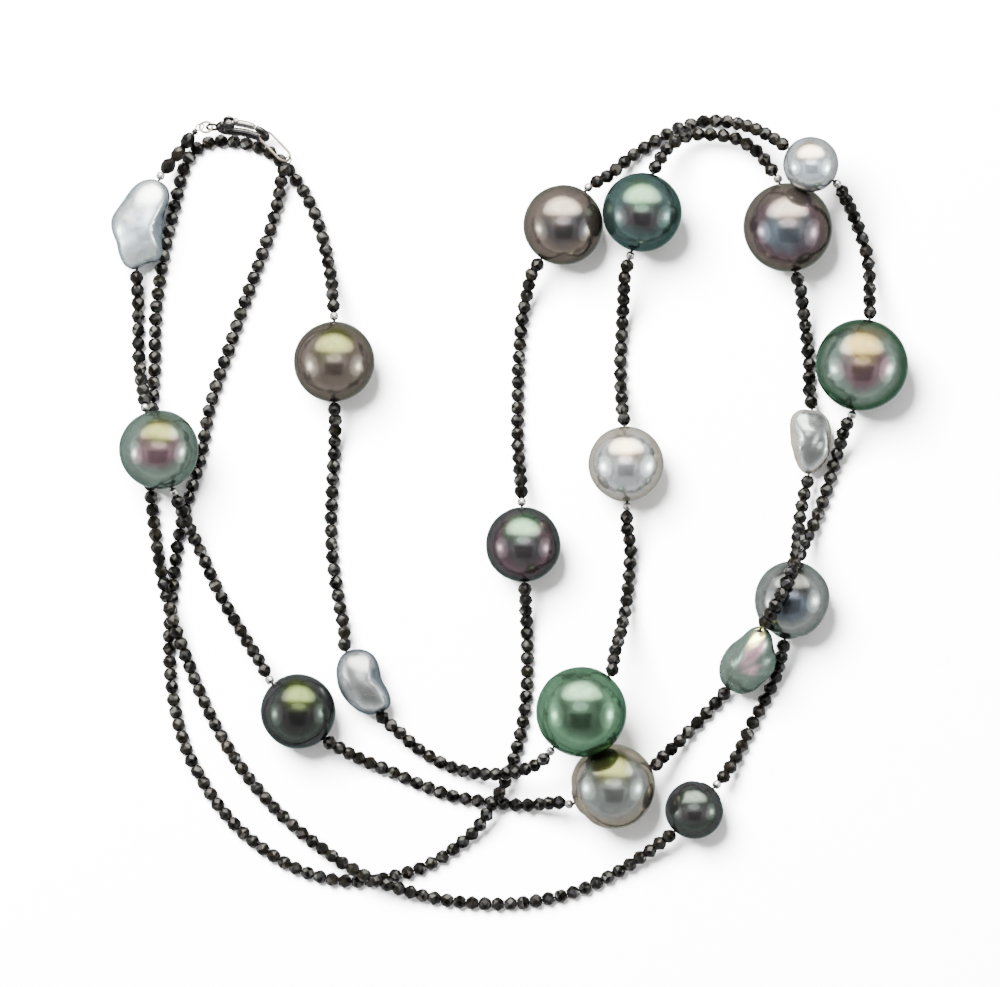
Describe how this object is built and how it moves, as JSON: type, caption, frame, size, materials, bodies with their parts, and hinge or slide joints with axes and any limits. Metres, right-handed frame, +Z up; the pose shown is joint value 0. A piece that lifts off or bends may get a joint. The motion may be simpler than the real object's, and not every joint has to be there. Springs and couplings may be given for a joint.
{
  "type": "necklace",
  "caption": "Long rope necklace of drilled baroque and round pearls strung between runs of tiny faceted black beads, closed by a lobster clasp and laid in loops.",
  "frame": {"origin": "middle of the laid necklace's outline, on the surface it lies on", "axes": "+Z up out of the surface; +Y towards the end of the layout that holds the clasp; +X to the right seen from above"},
  "size_m": [0.1148, 0.1159, 0.0174],
  "materials": {
    "thread": "waxed",
    "black_stone": "polished facets",
    "white_metal": "polished",
    "clasp_metal": "polished",
    "nacre_baroque": "lustrous nacre",
    "nacre_peacock": "lustrous nacre",
    "nacre_black_green": "lustrous nacre",
    "nacre_olive": "lustrous nacre",
    "nacre_drop": "lustrous nacre",
    "nacre_keshi": "lustrous nacre",
    "nacre_aubergine": "lustrous nacre",
    "nacre_teal": "lustrous nacre",
    "nacre_champagne": "lustrous nacre",
    "nacre_mint": "lustrous nacre",
    "nacre_kidney": "lustrous nacre",
    "nacre_bronze": "lustrous nacre",
    "nacre_charcoal": "lustrous nacre",
    "nacre_blue_grey": "lustrous nacre",
    "nacre_green_gold": "lustrous nacre",
    "nacre_dove": "lustrous nacre",
    "nacre_peach": "lustrous nacre",
    "nacre_plum": "lustrous nacre"
  },
  "bodies": {
    "strand": {"thread": "thread", "beads_clasp_to_01": "black_stone", "beads_01_to_02": "black_stone", "beads_02_to_03": "black_stone", "beads_03_to_04": "black_stone", "beads_04_to_05": "black_stone", "beads_05_to_06": "black_stone", "beads_06_to_07": "black_stone", "beads_07_to_08": "black_stone", "beads_08_to_09": "black_stone", "beads_09_to_10": "black_stone", "beads_10_to_11": "black_stone", "beads_11_to_12": "black_stone", "beads_12_to_13": "black_stone", "beads_13_to_14": "black_stone", "beads_14_to_15": "black_stone", "beads_15_to_16": "black_stone", "beads_16_to_17": "black_stone", "beads_17_to_18": "black_stone", "beads_18_to_clasp": "black_stone", "spacer_beads": "white_metal", "crimp_bead": "white_metal", "thread_loops": "thread", "clasp_body": "clasp_metal", "lever_pin": "clasp_metal", "lever_spring": "clasp_metal"},
    "pearl_01": {"pearl_01_baroque": "nacre_baroque"},
    "pearl_02": {"pearl_02_peacock": "nacre_peacock"},
    "pearl_03": {"pearl_03_black_green": "nacre_black_green"},
    "pearl_04": {"pearl_04_olive": "nacre_olive"},
    "pearl_05": {"pearl_05_drop": "nacre_drop"},
    "pearl_06": {"pearl_06_keshi": "nacre_keshi"},
    "pearl_07": {"pearl_07_aubergine": "nacre_aubergine"},
    "pearl_08": {"pearl_08_teal": "nacre_teal"},
    "pearl_09": {"pearl_09_champagne": "nacre_champagne"},
    "pearl_10": {"pearl_10_mint": "nacre_mint"},
    "pearl_11": {"pearl_11_kidney": "nacre_kidney"},
    "pearl_12": {"pearl_12_bronze": "nacre_bronze"},
    "pearl_13": {"pearl_13_charcoal": "nacre_charcoal"},
    "pearl_14": {"pearl_14_blue_grey": "nacre_blue_grey"},
    "pearl_15": {"pearl_15_green_gold": "nacre_green_gold"},
    "pearl_16": {"pearl_16_dove": "nacre_dove"},
    "pearl_17": {"pearl_17_peach": "nacre_peach"},
    "pearl_18": {"pearl_18_plum": "nacre_plum"},
    "lever": {"clasp_lever": "clasp_metal"},
    "jump_ring": {"jump_ring": "white_metal"},
    "end_ring": {"end_ring": "white_metal"}
  },
  "joints": [
    {"name": "pearl_01_turn", "type": "hinge", "parent": "strand", "child": "pearl_01", "pos_m": [-0.0523, 0.0418, 0.00375], "axis": [-0.2416, -0.969, -0.0523], "range_deg": [-8, 8]},
    {"name": "pearl_02_turn", "type": "hinge", "parent": "strand", "child": "pearl_02", "pos_m": [-0.0505, 0.0092, 0.0077], "axis": [0.3256, -0.9455, 0], "continuous": true},
    {"name": "pearl_03_turn", "type": "hinge", "parent": "strand", "child": "pearl_03", "pos_m": [-0.0304, -0.0287, 0.0055], "axis": [0.682, -0.7314, 0], "continuous": true},
    {"name": "pearl_04_turn", "type": "hinge", "parent": "strand", "child": "pearl_04", "pos_m": [0.0152, -0.0395, 0.00615], "axis": [0.9135, 0.4067, 0], "continuous": true},
    {"name": "pearl_05_turn", "type": "hinge", "parent": "strand", "child": "pearl_05", "pos_m": [0.0343, -0.0209, 0.0056], "axis": [0.3759, 0.7221, 0.5807], "range_deg": [-8, 8]},
    {"name": "pearl_06_turn", "type": "hinge", "parent": "strand", "child": "pearl_06", "pos_m": [0.0439, 0.0104, 0.003], "axis": [0.0523, 0.9986, 0], "continuous": true},
    {"name": "pearl_07_turn", "type": "hinge", "parent": "strand", "child": "pearl_07", "pos_m": [0.0405, 0.0414, 0.00645], "axis": [-0.1736, 0.9848, 0], "continuous": true},
    {"name": "pearl_08_turn", "type": "hinge", "parent": "strand", "child": "pearl_08", "pos_m": [0.0194, 0.0436, 0.0075], "axis": [-0.2588, -0.9659, 0], "continuous": true},
    {"name": "pearl_09_turn", "type": "hinge", "parent": "strand", "child": "pearl_09", "pos_m": [0.0171, 0.0072, 0.00545], "axis": [0.0349, -0.9994, 0], "continuous": true},
    {"name": "pearl_10_turn", "type": "hinge", "parent": "strand", "child": "pearl_10", "pos_m": [0.0106, -0.0286, 0.01095], "axis": [-0.6157, -0.788, 0], "continuous": true},
    {"name": "pearl_11_turn", "type": "hinge", "parent": "strand", "child": "pearl_11", "pos_m": [-0.0212, -0.0244, 0.0036], "axis": [-0.4695, 0.8829, 0], "range_deg": [-10, 10]},
    {"name": "pearl_12_turn", "type": "hinge", "parent": "strand", "child": "pearl_12", "pos_m": [-0.0252, 0.022, 0.00585], "axis": [0, 1, 0], "continuous": true},
    {"name": "pearl_13_turn", "type": "hinge", "parent": "strand", "child": "pearl_13", "pos_m": [0.027, -0.043, 0.0042], "axis": [0.6691, 0.7431, 0], "continuous": true},
    {"name": "pearl_14_turn", "type": "hinge", "parent": "strand", "child": "pearl_14", "pos_m": [0.0411, -0.0126, 0.0054], "axis": [0.1736, 0.9848, 0], "continuous": true},
    {"name": "pearl_15_turn", "type": "hinge", "parent": "strand", "child": "pearl_15", "pos_m": [0.0512, 0.0215, 0.00665], "axis": [0.1736, 0.9848, 0], "continuous": true},
    {"name": "pearl_16_turn", "type": "hinge", "parent": "strand", "child": "pearl_16", "pos_m": [0.0437, 0.0504, 0.0109], "axis": [-0.809, 0.5878, 0], "continuous": true},
    {"name": "pearl_17_turn", "type": "hinge", "parent": "strand", "child": "pearl_17", "pos_m": [0.008, 0.0418, 0.00585], "axis": [-0.5446, -0.8387, 0], "continuous": true},
    {"name": "pearl_18_turn", "type": "hinge", "parent": "strand", "child": "pearl_18", "pos_m": [0.0022, -0.0045, 0.00545], "axis": [0.0349, -0.9994, 0], "continuous": true},
    {"name": "clasp_lever_hinge", "type": "hinge", "parent": "strand", "child": "lever", "pos_m": [-0.0405, 0.0568, 0.00471], "axis": [0, 0.866, -0.5], "range_deg": [0, 22], "stiffness_Nm_per_rad": 0.002, "springref_deg": -11.46},
    {"name": "jump_ring_turn", "type": "hinge", "parent": "strand", "child": "jump_ring", "pos_m": [-0.04385, 0.0561, 0.0035], "axis": [0, 0.5, 0.866], "continuous": true},
    {"name": "end_ring_swing", "type": "hinge", "parent": "strand", "child": "end_ring", "pos_m": [-0.03395, 0.05385, 0.00335], "axis": [0.6247, -0.7771, 0.0762], "range_deg": [-5, 5]}
  ]
}
